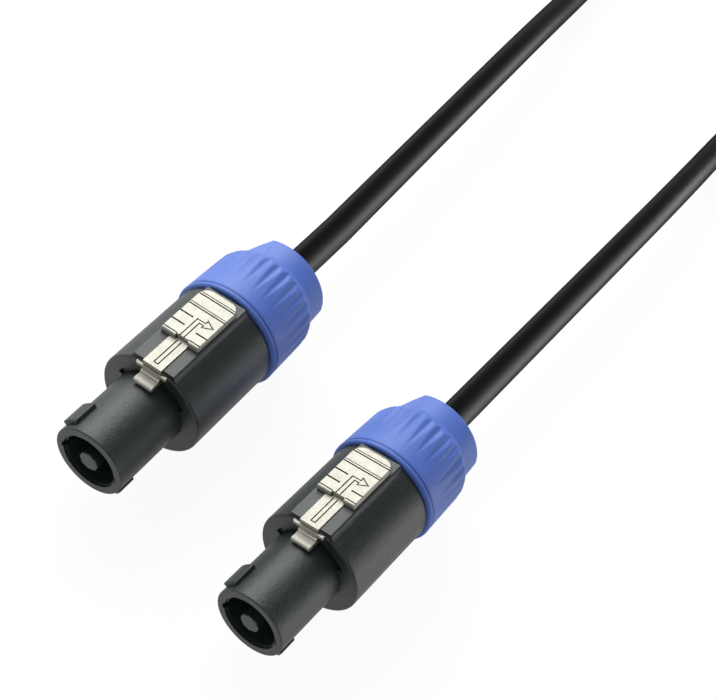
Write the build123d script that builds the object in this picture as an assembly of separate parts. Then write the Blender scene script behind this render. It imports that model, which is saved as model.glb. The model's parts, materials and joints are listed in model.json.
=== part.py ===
from build123d import *
import math
import os

# Two-core loudspeaker cable with a four-pole twist-lock plug on each end.
# Row frame, mm: origin at the centre of plug A's nose face, +Y from nose to cable, +Z up.
# Plug frame: origin at the centre of that plug's nose face, +Y to the cable, +Z through the latch.

# Driving dimensions of the plug, y measured back from the nose face
NOSE_R = 9.9
NOSE_MOUTH_R = 7.7
NOSE_MOUTH_DEPTH = 0.8
NOSE_GROOVE_R = 7.3
NOSE_GROOVE_DEPTH = 20.0
POST_R = 2.8
FLANGE_R = 10.6
FLANGE_Y = 27.5
INSERT_R = 10.3
INSERT_END_Y = 42.0
HOUSING_R = 14.8
HOUSING_FRONT_Y = 22.5
HOUSING_REAR_Y = 52.0
HOUSING_BORE_R = 10.8
SLEEVE_R = 12.9
SLEEVE_END_Y = 62.0
BUSHING_R = 15.8
BUSHING_FRONT_Y = 52.4
BUSHING_END_Y = 79.2
CHUCK_FRONT_Y = 47.5
CHUCK_END_Y = 75.5
CHUCK_R = 10.7
RUNNING_GAP = 0.05
SLIDING_GAP = 0.1

# Latch, its T-slot and its spring
PAD_TOP_Z = 14.86
PAD_HALF_WIDTH = 6.25
PAD_FRONT_Y = 23.1
PAD_REAR_Y = 51.6
LATCH_TRAVEL = 2.2
THUMB_Y = (32.7, 50.0)
THUMB_HALF_WIDTH = 5.65
THUMB_TOP_Z = 16.5
NECK_HALF_WIDTH = 2.75
RUNNER_HALF_WIDTH = 4.55
RUNNER_Z = (12.95, 13.85)
RUNNER_Y = (21.9, 33.4)
TONGUE_Y = 18.9
TONGUE_Z = (10.25, 11.5)
LUG_Y = (34.4, 36.0)
SPRING_R = 1.15
SPRING_WIRE_R = 0.2
SPRING_COILS = 8
POCKET_END_Y = 46.2
POCKET_FLOOR_Z = 11.35

# Screw joint between bushing and housing
THREAD_PITCH = 3.0
THREAD_HEIGHT = 0.7
THREAD_ROOT = 1.6
THREAD_CREST = 0.8
THREAD_Y = (53.6, 60.8)
THREAD_GAP = 0.1
GRIP_FLUTES = 30
WRENCH_FLAT_OFFSET = 11.3
WRENCH_FLAT_Y = 71.4
WRENCH_FLAT_ANGLE = -50.0

# Four terminals around the plug axis
TERMINALS = 4
WIRE_HOLE_RADIUS = 5.6
TERMINAL_Y = (30.0, 41.4)
TERMINAL_SIDE = 4.8
CLAMP_SCREW_Y = 37.5
CLAMP_SCREW_R = 1.45
BLADE_Y = 9.0
BLADE_Z = (6.2, 7.0)
BLADE_HALF_WIDTH = 1.5

# Cable and its flex joints
CABLE_R = 4.35
JACKET_BORE_R = 3.5
CORE_R = 1.65
CORE_OFFSET = 1.7
CONDUCTOR_R = 0.9
FILLER_R = 0.95
FILLER_OFFSET = 2.1
STRIP_Y = 57.5
SWING_Y = 104.0
LEAD_LENGTH = 60.0
LEVEL_LENGTH = 30.0
DROP_ANGLE = 12.0
FLOOR_LENGTH = 2.0
FLEX_LIMIT = 30.0
CUP_GAP = 0.05
END_WALL = 1.0
FLEX_ROOM = CABLE_R * math.tan(math.radians(FLEX_LIMIT)) + 0.2
CORE_INSET = CABLE_R + CUP_GAP + END_WALL + 0.5

# Where each plug lies: position, yaw towards +X, roll of the latch towards -X, extra yaw of its lead
PLUGS = {
    "a": {"pos": (0.0, 0.0), "yaw": 0.0, "roll": 20.4, "lead_yaw": -1.5},
    "b": {"pos": (53.6, -1.0), "yaw": 3.5, "roll": 29.0, "lead_yaw": 0.0},
}


def turned(outline):
    """Solid of revolution about +Y from (y, radius) corners."""
    return revolve(Plane.YZ * make_face(Polyline(outline, close=True)), Axis.Y)


def tube(y0, y1, outer, inner):
    """Straight tube along +Y."""
    return turned([(y0, inner), (y1, inner), (y1, outer), (y0, outer)])


def rod(y0, y1, radius, x=0.0, z=0.0):
    """Straight round bar along +Y at (x, z)."""
    disc = Plane((x, y0, z), x_dir=(1, 0, 0), z_dir=(0, 1, 0)) * Circle(radius)
    return extrude(disc, y1 - y0)


def block(x, y, z):
    """Box between the limits (low, high) given for each axis."""
    size = [high - low for low, high in (x, y, z)]
    middle = [(high + low) / 2 for low, high in (x, y, z)]
    return Pos(*middle) * Box(*size)


def rims(shape, y, radius):
    """Round edges of a turned shape at y with that radius."""
    circles = shape.edges().filter_by(GeomType.CIRCLE)
    near = [edge for edge in circles if abs(edge.radius - radius) < 0.01]
    return [edge for edge in near if abs(edge.center(CenterOf.BOUNDING_BOX).Y - y) < 0.01]


def around(shape, count, first=0.0):
    """Copies of shape turned about +Y, as a list."""
    return [Rot(0, first + 360 / count * i, 0) * shape for i in range(count)]


def sector(y0, y1, outer, inner, start, end):
    """Part of a tube between two angles measured from +Z towards +X."""
    section = Plane.YZ * make_face(
        Polyline([(y0, inner), (y1, inner), (y1, outer), (y0, outer)], close=True)
    )
    return revolve(Rot(0, start, 0) * section, Axis.Y, revolution_arc=end - start)


# ---- plug shell ---------------------------------------------------------------------------


def make_insert():
    """Nose moulding: ring, centre post, flange, terminal carrier and the twist-lock lugs."""
    body = turned(
        [
            (NOSE_GROOVE_DEPTH, 0),
            (NOSE_GROOVE_DEPTH, NOSE_GROOVE_R),
            (NOSE_MOUTH_DEPTH, NOSE_GROOVE_R),
            (NOSE_MOUTH_DEPTH, NOSE_MOUTH_R),
            (0, NOSE_MOUTH_R),
            (0, NOSE_R),
            (FLANGE_Y, NOSE_R),
            (FLANGE_Y, FLANGE_R),
            (FLANGE_Y + 2, FLANGE_R),
            (FLANGE_Y + 2, INSERT_R),
            (INSERT_END_Y, INSERT_R),
            (INSERT_END_Y, 0),
        ]
    )
    body = fillet(rims(body, 0, NOSE_R), 0.35)
    body = fillet(rims(body, 0, NOSE_MOUTH_R), 0.12)
    for angle in (-87, 93):
        body -= sector(-1, 6.0, NOSE_MOUTH_R + 0.5, NOSE_GROOVE_R - 0.5, angle - 7, angle + 7)
    body += make_post()
    body += make_lock_lug(1.7, 8.5, 1.15, -56, -30)
    body += make_lock_lug(0.4, 5.6, 0.5, 115, 125)
    for space in around(terminal_space(), TERMINALS, 45):
        body -= space
    return body


def make_post():
    """Eight-sided centre post of the nose, flush with the ring."""
    plane = Plane((0, 0, 0), x_dir=(1, 0, 0), z_dir=(0, 1, 0))
    post = extrude(plane * RegularPolygon(POST_R, 8), NOSE_GROOVE_DEPTH)
    return chamfer(post.faces().sort_by(Axis.Y)[0].edges(), 0.2)


def make_lock_lug(y0, y1, height, start, end):
    """Raised twist-lock lug on the nose between two angles, with softened outer edges."""
    lug = sector(y0, y1, NOSE_R + height, NOSE_R - 0.3, start, end)
    outer = lug.faces().filter_by(GeomType.CYLINDER).sort_by(lambda face: face.radius)[-1]
    return fillet(outer.edges(), 0.3)


def terminal_space():
    """Room in the insert for one terminal, its contact blade and its screw driver."""
    half = TERMINAL_SIDE / 2 + RUNNING_GAP
    low = WIRE_HOLE_RADIUS - half
    high = WIRE_HOLE_RADIUS + half
    pocket = block((-half, half), (TERMINAL_Y[0] - RUNNING_GAP, INSERT_END_Y + 1), (low, high))
    blade = block(
        (-BLADE_HALF_WIDTH - RUNNING_GAP, BLADE_HALF_WIDTH + RUNNING_GAP),
        (NOSE_GROOVE_DEPTH - 1, TERMINAL_Y[0] + 1),
        (BLADE_Z[0] - RUNNING_GAP, BLADE_Z[1] + RUNNING_GAP),
    )
    access = Pos(0, CLAMP_SCREW_Y, 0) * extrude(Circle(CLAMP_SCREW_R + 0.35), FLANGE_R + 1)
    access &= block((-3, 3), (CLAMP_SCREW_Y - 3, CLAMP_SCREW_Y + 3), (high - 1, FLANGE_R + 1))
    return pocket + blade + access


def make_contact():
    """Terminal block with its wire hole and its contact blade, on the +Z side of the axis."""
    half = TERMINAL_SIDE / 2
    body = block(
        (-half, half), TERMINAL_Y, (WIRE_HOLE_RADIUS - half, WIRE_HOLE_RADIUS + half)
    )
    body += block((-BLADE_HALF_WIDTH, BLADE_HALF_WIDTH), (BLADE_Y, TERMINAL_Y[0] + 0.5), BLADE_Z)
    body -= rod(TERMINAL_Y[0] + 2, TERMINAL_Y[1] + 1, CONDUCTOR_R + 0.3, z=WIRE_HOLE_RADIUS)
    screw_hole = Pos(0, CLAMP_SCREW_Y, WIRE_HOLE_RADIUS) * extrude(
        Circle(CLAMP_SCREW_R + RUNNING_GAP), TERMINAL_SIDE
    )
    return body - screw_hole


def make_clamp_screw():
    """Terminal screw with a hexagon socket, pressing on the wire from outside."""
    tip = WIRE_HOLE_RADIUS + CONDUCTOR_R + 0.02
    top = INSERT_R - 0.6
    shank = Pos(0, CLAMP_SCREW_Y, tip) * extrude(Circle(CLAMP_SCREW_R), top - tip)
    socket = Pos(0, CLAMP_SCREW_Y, top - 1.4) * extrude(RegularPolygon(0.85, 6), 2)
    return shank - socket


def pad_section():
    """Half section of the saddle under the latch: flat top, short wall, hollow curve into the barrel."""
    foot_x = PAD_HALF_WIDTH + 2.6
    foot_z = math.sqrt(HOUSING_R**2 - foot_x**2) - 0.05
    wall_z = PAD_TOP_Z - 0.75
    corner = 0.3
    hollow = ThreePointArc(
        (foot_x, foot_z),
        ((foot_x + PAD_HALF_WIDTH) / 2 - 0.35, (foot_z + wall_z) / 2 - 0.18),
        (PAD_HALF_WIDTH, wall_z),
    )
    rest = Polyline(
        [
            (PAD_HALF_WIDTH, wall_z),
            (PAD_HALF_WIDTH, PAD_TOP_Z - corner),
            (PAD_HALF_WIDTH - corner, PAD_TOP_Z),
            (0, PAD_TOP_Z),
            (0, 0),
            (foot_x, 0),
            (foot_x, foot_z),
        ]
    )
    return make_face([hollow, rest])


def thread_ridge(y0, y1, extra):
    """Helical trapezoid ridge on the sleeve from y0 to y1, grown by extra on its flanks and crest."""
    root = SLEEVE_R - 0.15
    crest = SLEEVE_R + THREAD_HEIGHT + extra
    path = Helix(THREAD_PITCH, y1 - y0, SLEEVE_R)
    half_root = THREAD_ROOT / 2 + extra
    half_crest = THREAD_CREST / 2 + extra
    profile = Plane.XZ * make_face(
        Polyline(
            [(root, -half_root), (root, half_root), (crest, half_crest), (crest, -half_crest)],
            close=True,
        )
    )
    ridge = sweep(profile, path, is_frenet=True)
    turn = 360 * (y0 - THREAD_Y[0]) / THREAD_PITCH
    return Pos(0, y0, 0) * Rot(-90, 0, 0) * Rot(0, 0, turn) * ridge


def make_housing():
    """Barrel with its saddle, T-slot, spring pocket and threaded sleeve."""
    barrel = turned(
        [
            (HOUSING_FRONT_Y, NOSE_R + RUNNING_GAP),
            (HOUSING_FRONT_Y, HOUSING_R),
            (HOUSING_REAR_Y, HOUSING_R),
            (HOUSING_REAR_Y, SLEEVE_R),
            (SLEEVE_END_Y, SLEEVE_R),
            (SLEEVE_END_Y, HOUSING_BORE_R),
            (FLANGE_Y - RUNNING_GAP, HOUSING_BORE_R),
            (FLANGE_Y - RUNNING_GAP, NOSE_R + RUNNING_GAP),
        ]
    )
    barrel = fillet(rims(barrel, HOUSING_FRONT_Y, HOUSING_R), 0.7)
    barrel = fillet(rims(barrel, HOUSING_REAR_Y, HOUSING_R), 0.3)
    plane = Plane((0, PAD_FRONT_Y, 0), x_dir=(1, 0, 0), z_dir=(0, -1, 0))
    half = extrude(plane * pad_section(), -(PAD_REAR_Y - PAD_FRONT_Y))
    saddle = half + mirror(half, Plane.YZ)
    saddle -= rod(0, SLEEVE_END_Y, HOUSING_R - 1.5)
    body = barrel + saddle
    body -= sector(0, HOUSING_FRONT_Y + 0.8, NOSE_R + 1.4, NOSE_R - 1, -62, 62)
    body -= latch_space()
    return body + thread_ridge(*THREAD_Y, 0)


def latch_space():
    """T-slot, tongue slot and spring pocket that the latch runs in."""
    gap = SLIDING_GAP
    slot_end = RUNNER_Y[1] + LATCH_TRAVEL + 0.5
    runner = block(
        (-RUNNER_HALF_WIDTH - gap, RUNNER_HALF_WIDTH + gap),
        (0, slot_end),
        (RUNNER_Z[0] - gap, RUNNER_Z[1] + gap),
    )
    neck = block(
        (-NECK_HALF_WIDTH - gap, NECK_HALF_WIDTH + gap), (0, slot_end), (RUNNER_Z[1], PAD_TOP_Z + 1)
    )
    tongue = block(
        (-NECK_HALF_WIDTH - gap - 0.1, NECK_HALF_WIDTH + gap + 0.1),
        (0, FLANGE_Y - 0.3),
        (NOSE_R - 1, RUNNER_Z[1]),
    )
    pocket = block((-1.6, 1.6), (LUG_Y[0] - gap, POCKET_END_Y), (POCKET_FLOOR_Z, PAD_TOP_Z + 1))
    return runner + neck + tongue + pocket


def make_bushing():
    """Screw collar with thirty tapering grip flutes, two wrench flats and a conical chuck seat."""
    lip = 0.9
    waist_y = 67.6
    shoulder = ThreePointArc((waist_y, 15.4), (69.8, 14.85), (71.0, 14.1))
    hollow = ThreePointArc((71.0, 14.1), (71.7, 13.83), (72.6, 13.7))
    rear = ThreePointArc((77.8, 13.2), (78.4, 12.95), (78.7, 12.4))
    front = ThreePointArc((BUSHING_FRONT_Y, BUSHING_R - lip), (52.56, 15.52), (53.0, BUSHING_R))
    inside = Polyline(
        [
            (78.7, 12.4),
            (BUSHING_END_Y, 10.8),
            (BUSHING_END_Y, CABLE_R + 1.3),
            (BUSHING_END_Y - 0.8, CABLE_R + 0.6),
            (CHUCK_END_Y + 0.8, CABLE_R + 0.6),
            (CHUCK_END_Y + 0.8, chuck_radius(CHUCK_END_Y) - 0.1),
            (CHUCK_END_Y, chuck_radius(CHUCK_END_Y) + SLIDING_GAP),
            (SLEEVE_END_Y + 1.2, CHUCK_R + SLIDING_GAP),
            (SLEEVE_END_Y + 1.2, SLEEVE_R + THREAD_GAP),
            (BUSHING_FRONT_Y, SLEEVE_R + THREAD_GAP),
            (BUSHING_FRONT_Y, BUSHING_R - lip),
        ]
    )
    outline = [
        front,
        Polyline([(53.0, BUSHING_R), (53.4, BUSHING_R), (53.6, 15.5), (53.9, 15.5), (54.1, 15.75)]),
        Line((54.1, 15.75), (waist_y, 15.4)),
        shoulder,
        hollow,
        Line((72.6, 13.7), (77.8, 13.2)),
        rear,
        inside,
    ]
    body = revolve(Plane.YZ * make_face(outline), Axis.Y)
    body -= around(make_flute_cutter(), GRIP_FLUTES)
    body -= around(make_wrench_cutter(), 2, WRENCH_FLAT_ANGLE)
    run_in = THREAD_Y[0] - THREAD_PITCH
    return body - thread_ridge(run_in, THREAD_Y[1] + 0.3, THREAD_GAP)


def make_wrench_cutter():
    """Block outside one wrench flat, with a round front corner where the flat runs out."""
    cutter = block((-14, 14), (WRENCH_FLAT_Y, 90), (WRENCH_FLAT_OFFSET, 20))
    corner = cutter.edges().filter_by(Axis.X).group_by(Axis.Y)[0].sort_by(Axis.Z)[0]
    return fillet(corner, 1.2)


def make_flute_cutter():
    """V-shaped wedge whose bottom line dives from the barrel of the bushing to its cone."""
    start = Vector(0, 55.6, 15.76)
    end = Vector(0, 73.4, 14.3)
    top = 2.0
    spread = top * math.tan(math.radians(68))
    plane = Plane(start, x_dir=(1, 0, 0), z_dir=end - start)
    side = 1 if plane.y_dir.Z > 0 else -1
    wedge = make_face(Polyline([(0, 0), (spread, side * top), (-spread, side * top)], close=True))
    return extrude(plane * wedge, (end - start).length)


def chuck_radius(y):
    """Outer radius of the chuck's cone at y."""
    return CHUCK_R - (y - SLEEVE_END_Y - 1.2) * 0.18


def make_chuck():
    """Strain-relief chuck: a ring with six fingers that the bushing squeezes onto the cable."""
    cone_y = SLEEVE_END_Y + 1.2
    grip = CABLE_R + RUNNING_GAP
    body = turned(
        [
            (CHUCK_FRONT_Y, 8.2),
            (CHUCK_FRONT_Y, CHUCK_R - 0.4),
            (CHUCK_FRONT_Y + 0.4, CHUCK_R),
            (cone_y, CHUCK_R),
            (CHUCK_END_Y, chuck_radius(CHUCK_END_Y)),
            (CHUCK_END_Y, grip + 0.8),
            (CHUCK_END_Y - 0.8, grip),
            (STRIP_Y + 1, grip),
            (STRIP_Y, 6.0),
            (CHUCK_FRONT_Y + 5, 6.6),
        ]
    )
    slot = block((-0.6, 0.6), (STRIP_Y + 1.5, CHUCK_END_Y + 1), (grip - 1, CHUCK_R + 1))
    body -= around(slot, 6)
    for tooth in range(6):
        y = STRIP_Y + 4 + 2.2 * tooth
        body -= tube(y, y + 1.4, grip + 0.4, grip - 0.5)
    return body


def make_latch():
    """Sliding latch: runner in the T-slot, neck, thumb plate, spring lug, web and locking tongue."""
    runner = block((-RUNNER_HALF_WIDTH, RUNNER_HALF_WIDTH), RUNNER_Y, RUNNER_Z)
    runner = fillet(runner.edges().filter_by(Axis.Z), 0.42)
    neck = block((-NECK_HALF_WIDTH, NECK_HALF_WIDTH), (22.4, THUMB_Y[0] + 1), (RUNNER_Z[1] - 0.2, 15.2))
    lug = block((-1.45, 1.45), LUG_Y, (POCKET_FLOOR_Z + 0.25, PAD_TOP_Z + 0.5))
    body = runner + neck + make_thumb_plate() + make_web() + make_tongue() + lug
    return body - thumb_marks()


def make_thumb_plate():
    """Thumb plate with round rear corners, softened rim and two raised lips at its front."""
    plate = block((-THUMB_HALF_WIDTH, THUMB_HALF_WIDTH), THUMB_Y, (PAD_TOP_Z + 0.08, THUMB_TOP_Z))
    plate = fillet(plate.edges().filter_by(Axis.Z).sort_by(Axis.Y)[2:], 3.0)
    plate = fillet(plate.faces().sort_by(Axis.Z)[-1].edges(), 0.3)
    gap = block((-1.4, 2.4), (THUMB_Y[0] - 1, THUMB_Y[0] + 0.7), (15.2, THUMB_TOP_Z + 1))
    return plate - gap


def make_web():
    """Waisted web that hangs from the neck and carries the tongue."""
    top_z = RUNNER_Z[1]
    low_z = TONGUE_Z[0] + 0.3
    waist = 2.2
    plane = Plane((0, 23.1, 0), x_dir=(1, 0, 0), z_dir=(0, -1, 0))
    corner = NECK_HALF_WIDTH - 0.1
    right = ThreePointArc((corner, top_z), (waist, (top_z + low_z) / 2), (corner, low_z))
    left = ThreePointArc((-corner, low_z), (-waist, (top_z + low_z) / 2), (-corner, top_z))
    outline = [right, Line((corner, low_z), (-corner, low_z)), left, Line((-corner, top_z), (corner, top_z))]
    return extrude(plane * make_face(outline), 23.1 - RUNNER_Y[0])


def make_tongue():
    """Scoop-shaped tongue that locks behind the rim of the socket."""
    y_web = RUNNER_Y[0] + 0.1
    low, high = TONGUE_Z
    rise = 1.0
    curve = ThreePointArc((y_web, high + rise), (y_web - 0.3, high + 0.3), (y_web - rise, high))
    lip = ThreePointArc((TONGUE_Y + 0.45, high), (TONGUE_Y + 0.13, high - 0.13), (TONGUE_Y, high - 0.45))
    base = Polyline(
        [(TONGUE_Y, high - 0.45), (TONGUE_Y, low + 0.2), (TONGUE_Y + 0.3, low), (23.1, low)]
        + [(23.1, high + rise), (y_web, high + rise)]
    )
    shelf = Line((y_web - rise, high), (TONGUE_Y + 0.45, high))
    section = Plane.YZ * make_face([curve, shelf, lip, base])
    body = extrude(section, NECK_HALF_WIDTH, both=True)
    return body - block((-9, 9), (y_web, 24), (high, high + rise + 1))


def thumb_marks():
    """Engraved lines of the latch: grip grooves, front lips and the bent release arrow."""
    wide = 2 * THUMB_HALF_WIDTH
    top = (THUMB_TOP_Z - 0.4, THUMB_TOP_Z + 1)
    marks = block((-wide, wide), (43.05, 43.45), top) + block((-wide, wide), (43.85, 44.1), top)
    marks += block((-wide, wide), (47.15, 47.55), top) + block((-wide, wide), (47.95, 48.2), top)
    for y in (39.9, 36.6):
        marks += block((-THUMB_HALF_WIDTH + 0.1, -1.6), (y - 0.25, y + 0.25), top)
    marks += block((2.1, THUMB_HALF_WIDTH - 0.1), (36.05, 36.5), top)
    marks += block((-THUMB_HALF_WIDTH + 0.1, -1.4), (33.3, 33.65), top)
    marks += block((2.4, THUMB_HALF_WIDTH - 0.1), (33.3, 33.65), top)
    corners = [(-0.6, 23.5), (-0.6, 40.4), (1.9, 40.4), (1.9, 41.5), (4.9, 39.9), (1.9, 38.3)]
    corners += [(1.9, 39.2), (0.95, 39.2), (0.95, 23.5)]
    arrow = make_face(Polyline(corners, close=True))
    arrow -= offset(arrow, -0.34, kind=Kind.INTERSECTION)
    on_plate = Pos(0, 0, top[0]) * extrude(arrow, 1)
    on_neck = Pos(0, 0, 14.8) * extrude(arrow, 1)
    return marks + on_plate + (on_neck - block((-9, 9), (THUMB_Y[0] - 0.02, 60), (14, 17)))


def make_latch_spring():
    """Compression spring between the latch lug and the end wall of its pocket."""
    first = LUG_Y[1] + SPRING_WIRE_R + RUNNING_GAP
    length = POCKET_END_Y - SPRING_WIRE_R - RUNNING_GAP - first
    path = Helix(length / SPRING_COILS, length, SPRING_R)
    section = Plane(path @ 0, z_dir=path % 0) * Circle(SPRING_WIRE_R)
    coil = sweep(section, path, is_frenet=True)
    return Pos(0, first, 13.1) * Rot(-90, 0, 0) * coil


# ---- cable ----------------------------------------------------------------------------------


def jacket_piece(y0, y1, ball_end, cup_start):
    """Jacket along +Y; a ball end is rounded about y1, a cup start leaves room to swing about y0."""
    start = y0
    bore_start = y0
    if cup_start:
        start = y0 + FLEX_ROOM
        bore_start = y0 + CABLE_R + CUP_GAP + END_WALL
    body = rod(start, y1, CABLE_R)
    if ball_end:
        body += Pos(0, y1, 0) * Sphere(CABLE_R)
    if cup_start:
        body -= Pos(0, y0, 0) * Sphere(CABLE_R + CUP_GAP)
    return body - rod(bore_start, y1 - END_WALL, JACKET_BORE_R)


def straight_cores(y0, y1, outer, inner):
    """Two straight round bars or tubes side by side along +Y."""
    bars = [rod(y0, y1, outer, z=side * CORE_OFFSET) for side in (1, -1)]
    if inner:
        bars = [bar - rod(y0, y1, inner, z=side * CORE_OFFSET) for bar, side in zip(bars, (1, -1))]
    return bars


def tail_core_path(side, y0):
    """Centre line of one core from its terminal to the flex joint, starting at y0."""
    terminal = side * WIRE_HOLE_RADIUS * math.sin(math.radians(45))
    bend_start = Vector(terminal, 45, terminal)
    bend_end = Vector(0, STRIP_Y, side * CORE_OFFSET)
    along = Vector(0, 1, 0)
    spread = Spline(bend_start, bend_end, tangents=[along, along])
    first = Line((terminal, y0, terminal), bend_start)
    last = Line(bend_end, (0, SWING_Y - END_WALL - 0.5, side * CORE_OFFSET))
    return Wire([first, spread, last])


def tail_core(side, y0, radius):
    """Round bar along the path of one core inside the plug."""
    path = tail_core_path(side, y0)
    return sweep(Plane(path @ 0, z_dir=path % 0) * Circle(radius), path)


def heading(degrees):
    """Unit vector in the floor plane, turned from +Y towards +X."""
    angle = math.radians(degrees)
    return Vector(math.sin(angle), math.cos(angle), 0)


def cable_points(plug):
    """Swing pivot, lift pivot and heading of the lead behind one plug."""
    origin = Vector(plug["pos"][0], plug["pos"][1], 0)
    swing = origin + heading(plug["yaw"]) * SWING_Y
    away = heading(plug["yaw"] + plug["lead_yaw"])
    return swing, swing + away * LEAD_LENGTH, away


def drop_edges(start, away, drop):
    """Two arcs that lower the cable by drop in a vertical plane; also returns where they end."""
    angle = math.radians(DROP_ANGLE)
    radius = drop / 2 / (1 - math.cos(angle))
    down = Vector(0, 0, -1)
    end = start + away * (2 * radius * math.sin(angle)) + down * drop

    def first(a):
        return start + away * (radius * math.sin(a)) + down * (radius * (1 - math.cos(a)))

    def second(a):
        return end - away * (radius * math.sin(a)) - down * (radius * (1 - math.cos(a)))

    arcs = [
        ThreePointArc(start, first(angle / 2), first(angle)),
        ThreePointArc(second(angle), second(angle / 2), end),
    ]
    return arcs, end


def meeting_point(first, away_first, second, away_second):
    """Point where two floor lines would meet, behind the plugs' noses."""
    gap = second - first
    turn = away_first.X * away_second.Y - away_first.Y * away_second.X
    return first + away_first * ((gap.X * away_second.Y - gap.Y * away_second.X) / turn)


def loop_path(inset):
    """Centre line of the fixed cable between the lift pivots, less inset at each end."""
    _, pivot_a, away_a = cable_points(PLUGS["a"])
    _, pivot_b, away_b = cable_points(PLUGS["b"])
    level_a = pivot_a + away_a * LEVEL_LENGTH
    level_b = pivot_b + away_b * LEVEL_LENGTH
    drop_a, floor_a = drop_edges(level_a, away_a, BUSHING_R - CABLE_R)
    drop_b, floor_b = drop_edges(level_b, away_b, BUSHING_R - CABLE_R)
    apex = meeting_point(floor_a, away_a, floor_b, away_b)
    reach = (floor_a - apex).length + FLOOR_LENGTH
    bend_a = apex + away_a * reach
    bend_b = apex + away_b * reach
    middle = (away_a + away_b).normalized()
    half_angle = math.acos(middle.dot(away_a))
    far = apex + middle * (reach * (1 / math.cos(half_angle) + math.tan(half_angle)))
    edges = [Line(pivot_a + away_a * inset, level_a)]
    edges += drop_a
    edges.append(Line(floor_a, bend_a))
    edges.append(ThreePointArc(bend_a, far, bend_b))
    edges.append(Line(bend_b, floor_b))
    edges += [ThreePointArc(arc @ 1, arc @ 0.5, arc @ 0) for arc in reversed(drop_b)]
    edges.append(Line(level_b, pivot_b + away_b * inset))
    return Wire(edges)


def loop_bar(inset, radius, aside=0.0, above=0.0):
    """Round bar along the fixed cable, offset sideways or upwards from its centre line."""
    path = loop_path(inset)
    plane = Plane(path @ 0, x_dir=(0, 0, 1), z_dir=path % 0)
    return sweep(plane * Pos(above, aside) * Circle(radius), path)


def make_loop_jacket():
    """Jacket of the fixed cable with a cup at each lift pivot."""
    body = loop_bar(FLEX_ROOM, CABLE_R) - loop_bar(CABLE_R + CUP_GAP + END_WALL, JACKET_BORE_R)
    for plug in PLUGS.values():
        body -= Pos(cable_points(plug)[1]) * Sphere(CABLE_R + CUP_GAP)
    return body


def make_loop_core(side):
    """Insulation of one core of the fixed cable."""
    above = side * CORE_OFFSET
    return loop_bar(CORE_INSET, CORE_R, above=above) - loop_bar(
        CORE_INSET, CONDUCTOR_R + 0.02, above=above
    )


# ---- assembly -------------------------------------------------------------------------------


def plug_place(plug):
    """Plug frame in the row frame, with the plug rolled onto its bushing."""
    return Pos(*plug["pos"], 0) * Rot(0, 0, -plug["yaw"]) * Rot(0, -plug["roll"], 0)


def lead_place(plug):
    """Frame of a lead: origin at its swing pivot, +Y away from the plug."""
    swing, _, _ = cable_points(plug)
    return Pos(swing) * Rot(0, 0, -plug["yaw"] - plug["lead_yaw"])


def make_plug():
    """Every piece that moves with a plug, in the plug frame."""
    return {
        "nose_insert": make_insert(),
        "housing": make_housing(),
        "contacts": around(make_contact(), TERMINALS, 45),
        "terminal_screws": around(make_clamp_screw(), TERMINALS, 45),
        "latch": make_latch(),
        "latch_spring": make_latch_spring(),
        "strain_relief_chuck": make_chuck(),
        "bushing": make_bushing(),
        "tail_jacket": jacket_piece(STRIP_Y, SWING_Y, True, False)
        - rod(STRIP_Y - 1, STRIP_Y + 1, JACKET_BORE_R),
        "tail_core_positive": tail_core(1, TERMINAL_Y[1] + 0.4, CORE_R)
        - tail_core(1, TERMINAL_Y[0] + 3, CONDUCTOR_R + 0.02),
        "tail_core_negative": tail_core(-1, TERMINAL_Y[1] + 0.4, CORE_R)
        - tail_core(-1, TERMINAL_Y[0] + 3, CONDUCTOR_R + 0.02),
        "tail_conductors": [tail_core(side, TERMINAL_Y[0] + 3, CONDUCTOR_R) for side in (1, -1)],
    }


def make_lead():
    """Short cable between the swing and the lift joint of one plug, in its own frame."""
    last = LEAD_LENGTH - END_WALL - 0.5
    return {
        "lead_jacket": jacket_piece(0, LEAD_LENGTH, True, True),
        "lead_cores": straight_cores(CORE_INSET, last, CORE_R, CONDUCTOR_R + 0.02),
        "lead_conductors": straight_cores(CORE_INSET, last, CONDUCTOR_R, None),
    }


def make_loop():
    """The fixed cable that rests on the floor."""
    return {
        "cable_jacket": make_loop_jacket(),
        "cable_core_positive": make_loop_core(1),
        "cable_core_negative": make_loop_core(-1),
        "cable_conductors": [
            loop_bar(CORE_INSET, CONDUCTOR_R, above=side * CORE_OFFSET) for side in (1, -1)
        ],
        "filler_cords": [
            loop_bar(CORE_INSET, FILLER_R, aside=side * FILLER_OFFSET) for side in (1, -1)
        ],
    }


def write(name, shape):
    """Writes one node; a list becomes a group of separate solids."""
    if isinstance(shape, list):
        shape = Compound(children=shape)
    export_step(shape, f"parts/{name}.step")


os.makedirs("parts", exist_ok=True)
plug_parts = make_plug()
lead_parts = make_lead()
for key, plug in PLUGS.items():
    for place, parts in ((plug_place(plug), plug_parts), (lead_place(plug), lead_parts)):
        for name, shape in parts.items():
            if isinstance(shape, list):
                write(f"{name}_{key}", [place * piece for piece in shape])
            else:
                write(f"{name}_{key}", place * shape)
for name, shape in make_loop().items():
    write(name, shape)
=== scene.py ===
import json
import math

import bmesh
import bpy
from mathutils import Matrix, Vector


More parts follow.
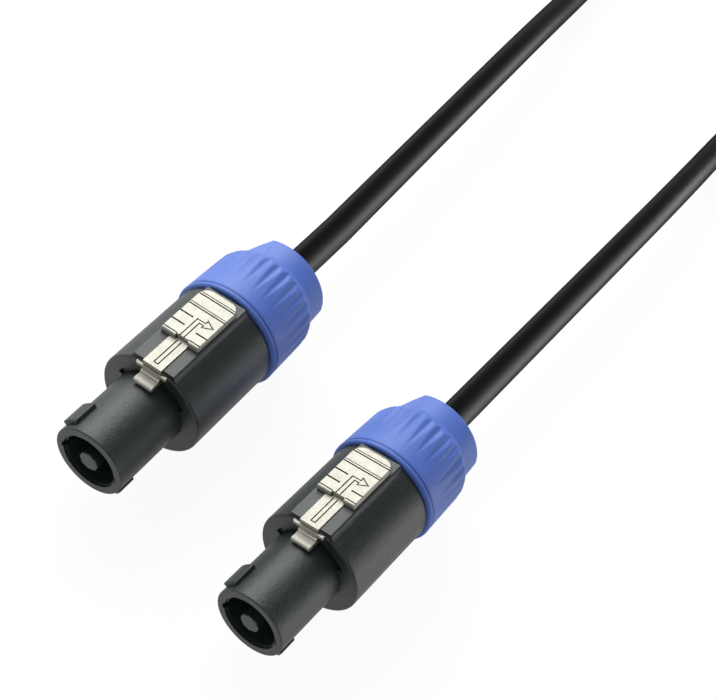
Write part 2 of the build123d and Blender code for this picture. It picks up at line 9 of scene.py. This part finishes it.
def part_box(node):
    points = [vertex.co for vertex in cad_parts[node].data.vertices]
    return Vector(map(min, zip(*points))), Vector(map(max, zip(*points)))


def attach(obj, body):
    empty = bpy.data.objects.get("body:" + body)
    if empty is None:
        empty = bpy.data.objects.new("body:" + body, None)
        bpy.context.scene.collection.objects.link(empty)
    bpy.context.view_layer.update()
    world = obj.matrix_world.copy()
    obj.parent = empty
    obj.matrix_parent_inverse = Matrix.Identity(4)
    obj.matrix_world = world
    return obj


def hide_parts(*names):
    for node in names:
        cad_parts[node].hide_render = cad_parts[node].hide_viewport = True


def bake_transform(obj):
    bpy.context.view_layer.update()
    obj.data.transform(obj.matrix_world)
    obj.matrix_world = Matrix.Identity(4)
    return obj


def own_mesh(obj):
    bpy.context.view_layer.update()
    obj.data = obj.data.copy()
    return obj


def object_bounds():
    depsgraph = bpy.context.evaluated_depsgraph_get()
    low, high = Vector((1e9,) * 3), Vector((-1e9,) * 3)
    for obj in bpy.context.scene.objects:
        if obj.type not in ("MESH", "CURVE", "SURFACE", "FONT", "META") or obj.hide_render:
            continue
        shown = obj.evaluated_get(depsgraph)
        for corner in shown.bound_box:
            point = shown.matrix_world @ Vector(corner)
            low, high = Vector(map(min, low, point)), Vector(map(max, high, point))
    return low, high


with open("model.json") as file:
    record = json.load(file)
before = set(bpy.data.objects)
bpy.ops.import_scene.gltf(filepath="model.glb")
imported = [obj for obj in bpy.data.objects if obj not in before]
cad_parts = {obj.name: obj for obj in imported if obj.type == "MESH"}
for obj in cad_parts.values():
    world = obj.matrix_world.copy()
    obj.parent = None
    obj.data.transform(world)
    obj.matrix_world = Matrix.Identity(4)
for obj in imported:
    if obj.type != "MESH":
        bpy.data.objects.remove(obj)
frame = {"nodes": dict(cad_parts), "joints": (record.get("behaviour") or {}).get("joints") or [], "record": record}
cad_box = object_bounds()

# Sizes in metres, in the row frame
MM = 0.001
CABLE_R = 4.35 * MM
JACKET_BORE_R = 3.5 * MM
STRIP_Y = 57.5 * MM
SWING_Y = 104.0 * MM
LEVEL_LENGTH = 30.0 * MM
DROP_ANGLE = math.radians(12)
FLOOR_LENGTH = 2.0 * MM
BUSHING_R = 15.8 * MM
SPRING_R = 1.15 * MM
SPRING_WIRE_R = 0.2 * MM
SPRING_COILS = 8
SPRING_LENGTH = 9.7 * MM
LIFT_BEND = 27.0 * MM
RING_STEP = 1.5 * MM
RING_POINTS = 48
CAMERA_SPOT = (24.5 * MM, -151.2 * MM, 303.5 * MM)
CAMERA_RIGHT = (0.7160, 0.5527, 0.4265)
CAMERA_UP = (-0.6980, 0.5735, 0.4287)
CAMERA_LENS = 71.2
KEY_POWER = 10.0
FILL_POWER = 0.95
SIDE_POWER = 3.4
SHEEN_POWER = 9.0
GLINT_POWER = 4.0
KEY_SPOT = (-0.582, 0.458, 0.425)
FILL_SPOT = (0.05, -0.65, 0.50)
SIDE_SPOT = (0.95, 0.40, 0.14)
SHEEN_SPOT = (0.72, 0.95, 0.36)
GLINT_SPOT = (-0.10, -0.90, 0.06)
PLUGS_SPOT = (0.03, 0.05, 0)
CABLES_SPOT = (0.04, 0.20, 0)
WORLD_STRENGTH = 0.18
BACKDROP = 0.95
FLOOR_SEEN = 0.88
FLOOR_MIRRORED = 0.55

FLOOR_SIZE = 3.0
FLOOR_DROP = 0.2 * MM
FLOOR_GLOW = 1.06
DROP_POINTS = 16
BEND_POINTS = 40
COIL_POINTS = 20
WIRE_POINTS = 10

PLUGS = ("a", "b")
JOINTS = {joint["name"]: joint for joint in frame["joints"]}


# ---- materials -------------------------------------------------------------------------------


class Nodes:
    """Small helper that builds one node material."""

    def __init__(self, name):
        self.material = bpy.data.materials.new(name)
        self.material.use_nodes = True
        self.tree = self.material.node_tree
        self.tree.nodes.clear()
        self.output = self.add("ShaderNodeOutputMaterial")
        self.shader = self.add("ShaderNodeBsdfPrincipled")
        self.link(self.shader, "BSDF", self.output, "Surface")
        self.place = self.add("ShaderNodeTexCoord")

    def add(self, kind, **settings):
        node = self.tree.nodes.new(kind)
        for key, value in settings.items():
            if key in node.inputs:
                node.inputs[key].default_value = value
            else:
                setattr(node, key, value)
        return node

    def link(self, source, output, target, socket):
        self.tree.links.new(source.outputs[output], target.inputs[socket])

    def set(self, **values):
        for key, value in values.items():
            self.shader.inputs[key.replace("_", " ")].default_value = value

    def noise(self, scale, detail=4.0, roughness=0.55, stretch=None):
        """Noise over object space, in cells per metre."""
        node = self.add("ShaderNodeTexNoise", Scale=scale, Detail=detail, Roughness=roughness)
        if stretch is None:
            self.link(self.place, "Object", node, "Vector")
        else:
            mapping = self.add("ShaderNodeMapping", Scale=stretch)
            self.link(self.place, "Object", mapping, "Vector")
            self.link(mapping, "Vector", node, "Vector")
        return node

    def spread(self, node, low, high, output="Fac", start=0.3, stop=0.7):
        """Maps a value between start and stop to low and high."""
        ramp = self.add("ShaderNodeMapRange")
        for socket, value in zip(("From Min", "From Max", "To Min", "To Max"), (start, stop, low, high)):
            ramp.inputs[socket].default_value = value
        self.link(node, output, ramp, "Value")
        return ramp

    def mix(self, factor, output, first, second):
        """Colour mix of two colours or nodes."""
        node = self.add("ShaderNodeMix", data_type="RGBA")
        self.link(factor, output, node, 0)
        for index, colour in ((6, first), (7, second)):
            if isinstance(colour, tuple):
                node.inputs[index].default_value = (*colour, 1)
            else:
                self.tree.links.new(colour.outputs[2], node.inputs[index])
        return node

    def colour(self, node):
        self.tree.links.new(node.outputs[2], self.shader.inputs["Base Color"])

    def blend_shaders(self, factor, output, first, second):
        """Surface that goes from the first shader to the second as factor rises."""
        blend = self.add("ShaderNodeMixShader")
        self.link(factor, output, blend, "Fac")
        self.tree.links.new(first.outputs[0], blend.inputs[1])
        self.tree.links.new(second.outputs[0], blend.inputs[2])
        self.link(blend, "Shader", self.output, "Surface")

    def bump(self, node, output, depth, strength=1.0, below=None):
        """Bump of a height field, chained on an earlier bump."""
        bump = self.add("ShaderNodeBump", Strength=strength, Distance=depth)
        self.link(node, output, bump, "Height")
        if below is not None:
            self.link(below, "Normal", bump, "Normal")
        self.link(bump, "Normal", self.shader, "Normal")
        return bump

    def edges(self, low, high, start=0.52, stop=0.6):
        """Value that rises on convex edges."""
        geometry = self.add("ShaderNodeNewGeometry")
        return self.spread(geometry, low, high, "Pointiness", start, stop)

    def soften(self, radius):
        """Rounds the look of sharp edges over radius; feed the result to a bump."""
        return self.add("ShaderNodeBevel", samples=6, Radius=radius)

    def shade_creases(self, base, shade, reach, strength=1.0):
        """Paints shade into engraved lines and creases narrower than reach: turns them towards the shade colour.
        """
        hidden = self.add("ShaderNodeAmbientOcclusion", samples=8, only_local=True, Distance=reach)
        return self.mix(self.spread(hidden, strength, 0, "AO", 0.3, 0.85), "Result", base, shade)


def moulded_plastic(name, dark, light, rough, grain, grain_depth, gloss=0.5):
    """Spark-eroded moulded plastic: fine grain, cloudy tone, convex edges a little lighter, painted shade in
    creases.
    """
    m = Nodes(name)
    cloud = m.noise(90, 3)
    base = m.mix(m.spread(cloud, 0, 1), "Result", dark, light)
    lighter_tone = tuple(min(1, 1.8 * c + 0.012) for c in light)
    fine = m.noise(grain, 5, 0.7)
    specks = m.mix(m.spread(fine, 0, 1, start=0.54, stop=0.70), "Result", base, lighter_tone)
    # Convex edges turn up to 60 % towards the lighter tone.
    top = m.mix(m.edges(0, 0.6), "Result", specks, lighter_tone)
    # Painted shade: creases and engraved lines narrower than 1.2 mm turn towards a third of the dark tone.
    m.colour(m.shade_creases(top, tuple(0.3 * c for c in dark), 0.0012, 0.8))
    coarse = m.noise(grain / 4, 3)
    m.link(m.spread(fine, rough - 0.06, rough + 0.1), "Result", m.shader, "Roughness")
    first = m.bump(coarse, "Fac", grain_depth)
    m.bump(fine, "Fac", grain_depth, below=first)
    m.set(Specular_IOR_Level=gloss)
    return m.material


def bushing_plastic():
    """Satin blue moulded plastic, with painted shade in its flutes and creases."""
    m = Nodes("bushing_blue")
    cloud = m.noise(70, 3)
    base = m.mix(m.spread(cloud, 0, 1), "Result", (0.088, 0.172, 0.565), (0.100, 0.192, 0.625))
    top = m.mix(m.edges(0, 0.35), "Result", base, (0.17, 0.26, 0.80))
    # Painted shade: flutes and creases narrower than 0.8 mm turn partly towards deep blue.
    m.colour(m.shade_creases(top, (0.045, 0.095, 0.350), 0.0008, 0.35))
    fine = m.noise(3500, 4, 0.6)
    m.link(m.spread(fine, 0.42, 0.54), "Result", m.shader, "Roughness")
    m.bump(fine, "Fac", 0.00002, 0.6, below=m.soften(0.0011))
    m.set(Specular_IOR_Level=0.42, Subsurface_Weight=0.05, Subsurface_Radius=(0.002, 0.002, 0.004))
    return m.material


def nickel_plate():
    """Satin nickel over a die casting, with fine orange peel and painted shade in the engraved lines."""
    m = Nodes("nickel")
    cloud = m.noise(420, 4)
    base = m.mix(m.spread(cloud, 0, 1), "Result", (0.355, 0.348, 0.305), (0.42, 0.411, 0.357))
    # Painted shade: engraved lines and creases narrower than 0.5 mm turn towards dark grey-brown.
    m.colour(m.shade_creases(base, (0.07, 0.065, 0.055), 0.0005))
    fine = m.noise(2600, 4, 0.65)
    m.link(m.spread(fine, 0.50, 0.62), "Result", m.shader, "Roughness")
    first = m.bump(cloud, "Fac", 0.00005)
    m.bump(fine, "Fac", 0.00001, below=first)
    m.set(Metallic=1.0)
    return m.material


def metal(name, dark, light, rough):
    """Plain drawn or turned metal with fine streaks."""
    m = Nodes(name)
    streak = m.noise(900, 3, 0.6, stretch=(1, 0.12, 1))
    m.colour(m.mix(m.spread(streak, 0, 1), "Result", dark, light))
    m.link(m.spread(streak, rough - 0.06, rough + 0.08), "Result", m.shader, "Roughness")
    m.bump(streak, "Fac", 0.00001)
    m.set(Metallic=1.0)
    return m.material


def cable_sheath(name, dark, light, rough):
    """Extruded PVC: faint lengthwise drag lines, fine grain, and a soft sheen that dies out at the rims, where
    painted shade turns the surface into a dark matt one.
    """
    m = Nodes(name)
    cloud = m.noise(140, 3)
    m.colour(m.mix(m.spread(cloud, 0, 1), "Result", dark, light))
    fine = m.noise(4200, 4, 0.65)
    drag = m.noise(500, 3, 0.5, stretch=(1, 0.08, 1))
    m.link(m.spread(fine, rough - 0.05, rough + 0.09), "Result", m.shader, "Roughness")
    first = m.bump(drag, "Fac", 0.00002, 0.7)
    m.bump(fine, "Fac", 0.00001, below=first)
    m.set(Specular_IOR_Level=0.30)
    # Painted shade at the rims: as the surface turns away from the view it blends into a dark matt shader.
    facing = m.add("ShaderNodeLayerWeight", Blend=0.5)
    painted_rim_shade = m.add("ShaderNodeBsdfDiffuse", Color=(*dark, 1))
    m.blend_shaders(m.spread(facing, 0, 0.8, "Facing", 0.52, 0.80), "Result", m.shader, painted_rim_shade)
    return m.material


def cord():
    """Twisted filler cord."""
    m = Nodes("filler_cord")
    wave = m.add("ShaderNodeTexWave", Scale=900, Distortion=2.0, Detail=2.0)
    m.link(m.place, "Object", wave, "Vector")
    m.colour(m.mix(wave, "Fac", (0.52, 0.49, 0.42), (0.80, 0.77, 0.68)))
    m.set(Roughness=0.9)
    m.bump(wave, "Fac", 0.0001)
    return m.material


FINISHES = {
    "housing_black": moulded_plastic(
        "housing_black", (0.006, 0.0115, 0.0115), (0.010, 0.016, 0.0155), 0.42, 2300, 0.00008, 0.65
    ),
    "insert_black": moulded_plastic(
        "insert_black", (0.008, 0.0145, 0.015), (0.015, 0.023, 0.023), 0.44, 2300, 0.00008, 0.65
    ),
    "bushing_blue": bushing_plastic(),
    "nickel": nickel_plate(),
    "screw_steel": metal("screw_steel", (0.42, 0.42, 0.42), (0.62, 0.62, 0.60), 0.32),
    "contact_metal": metal("contact_metal", (0.62, 0.50, 0.24), (0.82, 0.69, 0.38), 0.25),
    "chuck_grey": moulded_plastic("chuck_grey", (0.26, 0.26, 0.26), (0.34, 0.34, 0.34), 0.5, 3000, 0.00002),
    "jacket": cable_sheath("jacket", (0.004, 0.004, 0.0045), (0.008, 0.008, 0.009), 0.46),
    "core_red": cable_sheath("core_red", (0.42, 0.020, 0.016), (0.55, 0.035, 0.025), 0.3),
    "core_dark": cable_sheath("core_dark", (0.012, 0.012, 0.012), (0.028, 0.028, 0.028), 0.3),
    "copper": metal("copper", (0.62, 0.28, 0.16), (0.86, 0.46, 0.30), 0.28),
    "filler": cord(),
}


def dress_cad_nodes():
    """Gives every carried-over CAD node the finish of its material slot."""
    slots = {part["node"]: part["material_slot"] for part in frame["record"]["subparts"]}
    for name, node in frame["nodes"].items():
        node.data.materials.clear()
        node.data.materials.append(FINISHES[slots[name]])


# ---- cable jacket ----------------------------------------------------------------------------


def arc_points(centre, start, end, count):
    """Points of the shorter arc from start to end about centre, without its first point."""
    first = start - centre
    turn = first.rotation_difference(end - centre)
    axis, angle = turn.axis, turn.angle
    points = []
    for i in range(1, count + 1):
        points.append(centre + Matrix.Rotation(angle * i / count, 3, axis) @ first)
    return points


def line_points(start, end):
    """Evenly spaced points from start to end, without the first."""
    count = max(1, round((end - start).length / RING_STEP))
    return [start.lerp(end, i / count) for i in range(1, count + 1)]


def lead(key):
    """Nose direction, swing pivot, lift pivot and lead direction of one plug, from its joints."""
    swing = Vector(JOINTS[f"swing_{key}"]["pos_m"])
    lift = Vector(JOINTS[f"lift_{key}"]["pos_m"])
    along = Vector(JOINTS[f"bushing_turn_{key}"]["axis"])
    return along, swing, lift, (lift - swing).normalized()


def drop_points(start, away, drop):
    """Two arcs that lower the cable onto the floor."""
    down = Vector((0, 0, -1))
    radius = drop / 2 / (1 - math.cos(DROP_ANGLE))
    end = start + away * (2 * radius * math.sin(DROP_ANGLE)) + down * drop
    middle = (start + end) / 2
    points = arc_points(start + down * radius, start, middle, DROP_POINTS)
    return points + arc_points(end - down * radius, middle, end, DROP_POINTS)


def half_loop(key):
    """Cable from one lift pivot to the floor, and the direction it runs in."""
    _, _, lift, away = lead(key)
    level = lift + away * LEVEL_LENGTH
    return [lift] + line_points(lift, level) + drop_points(level, away, BUSHING_R - CABLE_R), away


def loop_points():
    """Centre line of the resting cable from lift pivot A to lift pivot B."""
    points_a, away_a = half_loop("a")
    points_b, away_b = half_loop("b")
    floor_a, floor_b = points_a[-1], points_b[-1]
    gap = floor_b - floor_a
    turn = away_a.x * away_b.y - away_a.y * away_b.x
    apex = floor_a + away_a * ((gap.x * away_b.y - gap.y * away_b.x) / turn)
    reach = (floor_a - apex).length + FLOOR_LENGTH
    bend_a = apex + away_a * reach
    bend_b = apex + away_b * reach
    middle = (away_a + away_b).normalized()
    half_angle = middle.angle(away_a)
    centre = apex + middle * (reach / math.cos(half_angle))
    far = centre + middle * (reach * math.tan(half_angle))
    points = points_a + line_points(floor_a, bend_a)
    points += arc_points(centre, bend_a, far, BEND_POINTS) + arc_points(centre, far, bend_b, BEND_POINTS)
    return points + line_points(bend_b, floor_b) + points_b[-2::-1]


def rings_along(work, points, radius, count):
    """Rings of vertices round a centre line, turned as little as possible from ring to ring."""
    last = len(points) - 1
    side = (points[1] - points[0]).orthogonal()
    rings = []
    for i, point in enumerate(points):
        tangent = (points[min(i + 1, last)] - points[max(i - 1, 0)]).normalized()
        side = (side - tangent * side.dot(tangent)).normalized()
        other = tangent.cross(side)
        ring = []
        for k in range(count):
            angle = 2 * math.pi * k / count
            offset = side * math.cos(angle) + other * math.sin(angle)
            ring.append(work.verts.new(point + offset * radius))
        rings.append(ring)
    return rings


def join_rings(work, first, second):
    """Band of four-sided faces between two rings."""
    count = len(first)
    for k in range(count):
        n = (k + 1) % count
        work.faces.new((first[k], first[n], second[n], second[k]))


def sweep(name, points, outer, inner, count, finish):
    """Closed mesh along points: a tube with flat ring ends, or a solid rod when inner is 0."""
    work = bmesh.new()
    skin = rings_along(work, points, outer, count)
    for first, second in zip(skin, skin[1:]):
        join_rings(work, first, second)
    if inner:
        bore = rings_along(work, points, inner, count)
        for first, second in zip(bore, bore[1:]):
            join_rings(work, first, second)
        join_rings(work, skin[0], bore[0])
        join_rings(work, skin[-1], bore[-1])
    else:
        work.faces.new(skin[0])
        work.faces.new(skin[-1])
    bmesh.ops.recalc_face_normals(work, faces=work.faces)
    mesh = bpy.data.meshes.new(name)
    work.to_mesh(mesh)
    work.free()
    mesh.polygons.foreach_set("use_smooth", [True] * len(mesh.polygons))
    mesh.set_sharp_from_angle(angle=math.radians(50))
    piece = bpy.data.objects.new(name, mesh)
    bpy.context.scene.collection.objects.link(piece)
    piece.data.materials.append(FINISHES[finish])
    return piece


def sweep_jacket(name, points):
    """Cable jacket along points."""
    return sweep(name, points, CABLE_R, JACKET_BORE_R, RING_POINTS, "jacket")


def make_jackets():
    """Jacket skins: one over each flex joint and one along the resting loop."""
    whole = loop_points()
    margin = LIFT_BEND + 3 * MM
    count_a = next(i for i, p in enumerate(whole) if (p - whole[0]).length > margin)
    count_b = next(i for i, p in enumerate(whole[::-1]) if (p - whole[-1]).length > margin)
    loop = sweep_jacket("jacket_loop", whole[count_a : len(whole) - count_b])
    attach(loop, "cable")
    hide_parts("cable_jacket")
    skins = [loop]
    starts = {"a": whole[: count_a + 1], "b": whole[::-1][: count_b + 1]}
    for key in PLUGS:
        along, swing, lift, away = lead(key)
        strip = swing + along * (STRIP_Y - SWING_Y)
        middle = swing.lerp(lift, 0.5)
        front = [strip] + line_points(strip, swing) + line_points(swing, middle)
        skin = sweep_jacket(f"jacket_swing_{key}", front)
        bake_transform(skin)
        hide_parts(f"tail_jacket_{key}", f"lead_jacket_{key}")
        skins.append(skin)
        rear = [middle] + line_points(middle, lift) + starts[key][1:]
        skin = sweep_jacket(f"jacket_lift_{key}", rear)
        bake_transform(skin)
        skins.append(skin)
    return skins


def make_latch_springs():
    """Coil latch springs, each fixed to its plug, in place of the CAD springs."""
    for key in PLUGS:
        low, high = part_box(f"latch_spring_{key}")
        middle = (Vector(low) + Vector(high)) / 2
        along = Vector(JOINTS[f"latch_slide_{key}"]["axis"]).normalized()
        side = along.orthogonal().normalized()
        other = along.cross(side)
        steps = SPRING_COILS * COIL_POINTS
        points = []
        for i in range(steps + 1):
            angle = 2 * math.pi * SPRING_COILS * i / steps
            out = side * math.cos(angle) + other * math.sin(angle)
            points.append(middle + along * (SPRING_LENGTH * (i / steps - 0.5)) + out * SPRING_R)
        spring = sweep(f"coil_spring_{key}", points, SPRING_WIRE_R, 0, WIRE_POINTS, "screw_steel")
        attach(spring, f"plug_{key}")
        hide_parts(f"latch_spring_{key}")
        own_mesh(spring)


# ---- studio ----------------------------------------------------------------------------------


def make_floor():
    """Plain pale floor under the plugs. It glows for camera rays, so that shadows on it stay faint, and for glossy
    rays, a painted glow that the plugs show in their reflections; the glow sheds no light on them.
    """
    mesh = bpy.data.meshes.new("floor")
    z = cad_box[0].z - FLOOR_DROP
    corners = [(x * FLOOR_SIZE, y * FLOOR_SIZE, z) for x, y in ((-1, -1), (1, -1), (1, 1), (-1, 1))]
    mesh.from_pydata(corners, [], [(0, 1, 2, 3)])
    floor = bpy.data.objects.new("floor", mesh)
    bpy.context.scene.collection.objects.link(floor)
    m = Nodes("floor_paper")
    m.colour(m.mix(m.spread(m.noise(30), 0, 1), "Result", (0.88, 0.88, 0.88), (0.91, 0.91, 0.91)))
    m.set(Roughness=0.9, Specular_IOR_Level=0.1)
    glow = m.add("ShaderNodeEmission", Strength=FLOOR_GLOW)
    ray = m.add("ShaderNodeLightPath")
    seen = m.spread(ray, 0, FLOOR_SEEN, "Is Camera Ray", 0, 1)
    # Painted glow: glossy rays see the floor glowing, so it shows brighter in the plugs' reflections than it is
    # lit.
    mirrored = m.spread(ray, 0, FLOOR_MIRRORED, "Is Glossy Ray", 0, 1)
    share = m.add("ShaderNodeMath", operation="MAXIMUM")
    m.tree.links.new(seen.outputs["Result"], share.inputs[0])
    m.tree.links.new(mirrored.outputs["Result"], share.inputs[1])
    m.blend_shaders(share, "Value", m.shader, glow)
    mesh.materials.append(m.material)


def softbox(name, spot, aim, width, height, power):
    """Rectangular area light at spot, facing aim."""
    data = bpy.data.lights.new(name, "AREA")
    data.shape = "RECTANGLE"
    data.size = width
    data.size_y = height
    data.energy = power
    light = bpy.data.objects.new(name, data)
    light.location = spot
    light.rotation_euler = (Vector(aim) - Vector(spot)).to_track_quat("-Z", "Y").to_euler()
    light.visible_camera = False
    bpy.context.scene.collection.objects.link(light)
    return light


def make_world():
    """Dim pale surround that the camera itself sees as a white backdrop."""
    world = bpy.data.worlds.new("studio")
    world.use_nodes = True
    tree = world.node_tree
    background = tree.nodes["Background"]
    background.inputs["Color"].default_value = (1, 1, 1, 1)
    ray = tree.nodes.new("ShaderNodeLightPath")
    strength = tree.nodes.new("ShaderNodeMapRange")
    strength.inputs["To Min"].default_value = WORLD_STRENGTH
    strength.inputs["To Max"].default_value = BACKDROP
    tree.links.new(ray.outputs["Is Camera Ray"], strength.inputs["Value"])
    tree.links.new(strength.outputs["Result"], background.inputs["Strength"])
    bpy.context.scene.world = world


def link_light(light, pieces, state):
    """Makes a light shine on pieces alone (INCLUDE) or on everything else (EXCLUDE)."""
    listed = bpy.data.collections.new(f"linked_to_{light.name}")
    for piece in pieces:
        listed.objects.link(piece)
    light.light_linking.receiver_collection = listed
    for entry in listed.collection_objects:
        entry.light_linking.link_state = state


def make_lights(jackets):
    """Key softbox behind on the left, which spares the jackets, a low one on the right, a weak fill in
    front, a sheen light for the jackets alone and a glint light for the latches alone."""
    key = softbox("key_left", KEY_SPOT, PLUGS_SPOT, 0.9, 0.7, KEY_POWER)
    softbox("side_right", SIDE_SPOT, PLUGS_SPOT, 0.9, 0.35, SIDE_POWER)
    softbox("fill_front", FILL_SPOT, PLUGS_SPOT, 0.5, 0.5, FILL_POWER)
    sheen = softbox("sheen_right", SHEEN_SPOT, CABLES_SPOT, 0.8, 0.6, SHEEN_POWER)
    glint = softbox("glint_front", GLINT_SPOT, PLUGS_SPOT, 0.6, 0.3, GLINT_POWER)
    latches = [frame["nodes"][f"latch_{plug}"] for plug in PLUGS]
    link_light(key, jackets, "EXCLUDE")
    link_light(sheen, jackets, "INCLUDE")
    link_light(glint, latches, "INCLUDE")
    make_world()


def make_camera():
    """Camera in front of and above the noses, rolled so that the plugs lie diagonally."""
    data = bpy.data.cameras.new("camera")
    data.sensor_width = 36
    data.lens = CAMERA_LENS
    data.clip_start = 0.01
    camera = bpy.data.objects.new("camera", data)
    right = Vector(CAMERA_RIGHT).normalized()
    up = Vector(CAMERA_UP)
    up = (up - right * up.dot(right)).normalized()
    turn = Matrix((right, up, right.cross(up))).transposed()
    camera.matrix_world = Matrix.Translation(CAMERA_SPOT) @ turn.to_4x4()
    bpy.context.scene.collection.objects.link(camera)
    bpy.context.scene.camera = camera
    bpy.context.scene.view_settings.view_transform = "Standard"


dress_cad_nodes()
jackets = make_jackets()
make_latch_springs()
make_floor()
make_lights(jackets)
make_camera()
